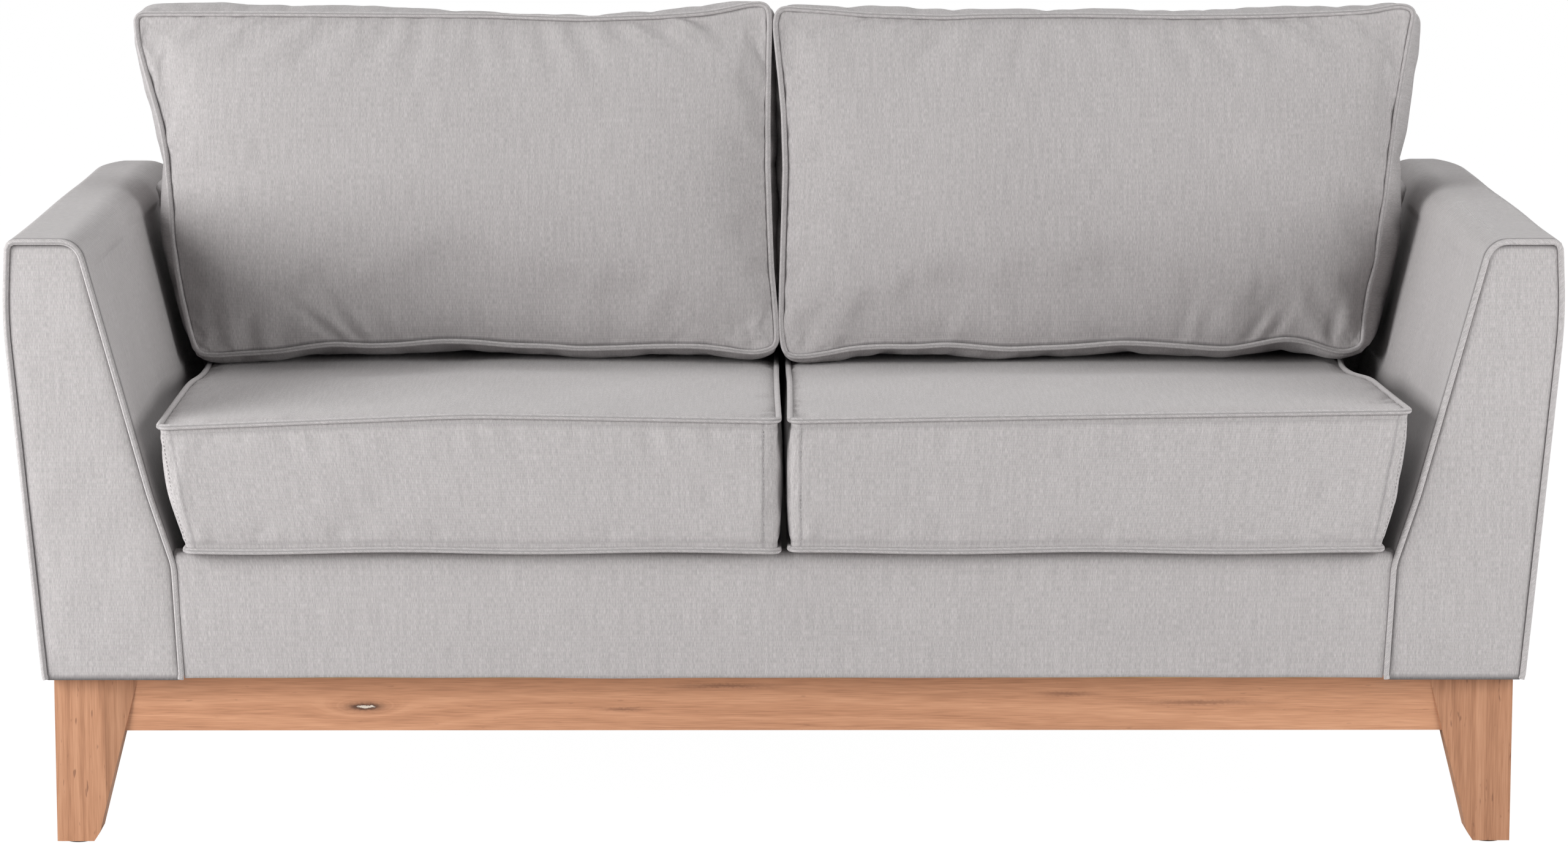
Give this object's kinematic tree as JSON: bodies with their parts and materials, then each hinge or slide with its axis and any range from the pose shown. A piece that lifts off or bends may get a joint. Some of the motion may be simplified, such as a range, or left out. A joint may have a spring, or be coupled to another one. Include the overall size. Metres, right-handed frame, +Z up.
{
  "type": "two-cushion upholstered sofa",
  "caption": "Fabric sofa with flared padded arms, loose welted seat and back cushions, and a wooden plinth on tapered legs.",
  "frame": {"origin": "on the floor under the middle of the sofa's box", "axes": "+Z up, -Y towards the front of the seat, +X along the width, to the right for someone who faces the sofa"},
  "size_m": [1.65, 0.8608, 0.8559],
  "materials": {
    "upholstery": "matte",
    "welt": "matte",
    "show_wood": "satin",
    "frame_wood": "matte",
    "frame_board": "matte",
    "steel": "satin",
    "webbing": "matte",
    "deck_lining": "matte",
    "padding": "matte",
    "dust_lining": "matte",
    "glide": "matte"
  },
  "bodies": {
    "frame": {"apron_cover": "upholstery", "arm_bolts": "steel", "arm_bottom_rail_left": "frame_wood", "arm_bottom_rail_right": "frame_wood", "arm_cover_left": "upholstery", "arm_cover_right": "upholstery", "arm_facing_left": "upholstery", "arm_facing_right": "upholstery", "arm_front_board_left": "frame_board", "arm_front_board_right": "frame_board", "arm_rear_board_left": "frame_board", "arm_rear_board_right": "frame_board", "arm_side_rail_left": "frame_wood", "arm_side_rail_right": "frame_wood", "arm_t_nuts": "steel", "arm_top_rail_left": "frame_wood", "arm_top_rail_right": "frame_wood", "arm_welt_left": "welt", "arm_welt_right": "welt", "back_bottom_board": "frame_board", "back_cover": "upholstery", "back_formers": "frame_board", "back_top_board": "frame_board", "back_webbing": "webbing", "deck_cloth": "deck_lining", "deck_pad": "padding", "dust_cover": "dust_lining", "foot_glides": "glide", "leg_front_left": "show_wood", "leg_front_right": "show_wood", "leg_rear_left": "show_wood", "leg_rear_right": "show_wood", "outer_back": "upholstery", "plinth_bolts": "steel", "plinth_corner_blocks": "frame_wood", "plinth_dowels": "frame_wood", "plinth_rail_front": "show_wood", "plinth_rail_rear": "show_wood", "plinth_side_rail_left": "show_wood", "plinth_side_rail_right": "show_wood", "seat_centre_rail": "frame_wood", "seat_corner_blocks": "frame_wood", "seat_rail_front": "frame_wood", "seat_rail_rear": "frame_wood", "seat_side_rail_left": "frame_wood", "seat_side_rail_right": "frame_wood", "seat_springs": "steel", "spring_clips": "steel"},
    "seat_cushion_left": {"seat_cushion_cover_left": "upholstery", "seat_cushion_core_left": "padding", "seat_cushion_welts_left": "welt"},
    "back_cushion_left": {"back_cushion_cover_left": "upholstery", "back_cushion_fill_left": "padding", "back_cushion_welts_left": "welt"},
    "seat_cushion_right": {"seat_cushion_cover_right": "upholstery", "seat_cushion_core_right": "padding", "seat_cushion_welts_right": "welt"},
    "back_cushion_right": {"back_cushion_cover_right": "upholstery", "back_cushion_fill_right": "padding", "back_cushion_welts_right": "welt"}
  },
  "joints": [
    {"name": "seat_cushion_left_pull", "type": "slide", "parent": "frame", "child": "seat_cushion_left", "axis": [0, -1, 0], "range_m": [0, 0.65]},
    {"name": "seat_cushion_right_pull", "type": "slide", "parent": "frame", "child": "seat_cushion_right", "axis": [0, -1, 0], "range_m": [0, 0.65]},
    {"name": "back_cushion_left_lift", "type": "slide", "parent": "frame", "child": "back_cushion_left", "axis": [0, 0, 1], "range_m": [0, 0.4]},
    {"name": "back_cushion_right_lift", "type": "slide", "parent": "frame", "child": "back_cushion_right", "axis": [0, 0, 1], "range_m": [0, 0.4]}
  ]
}
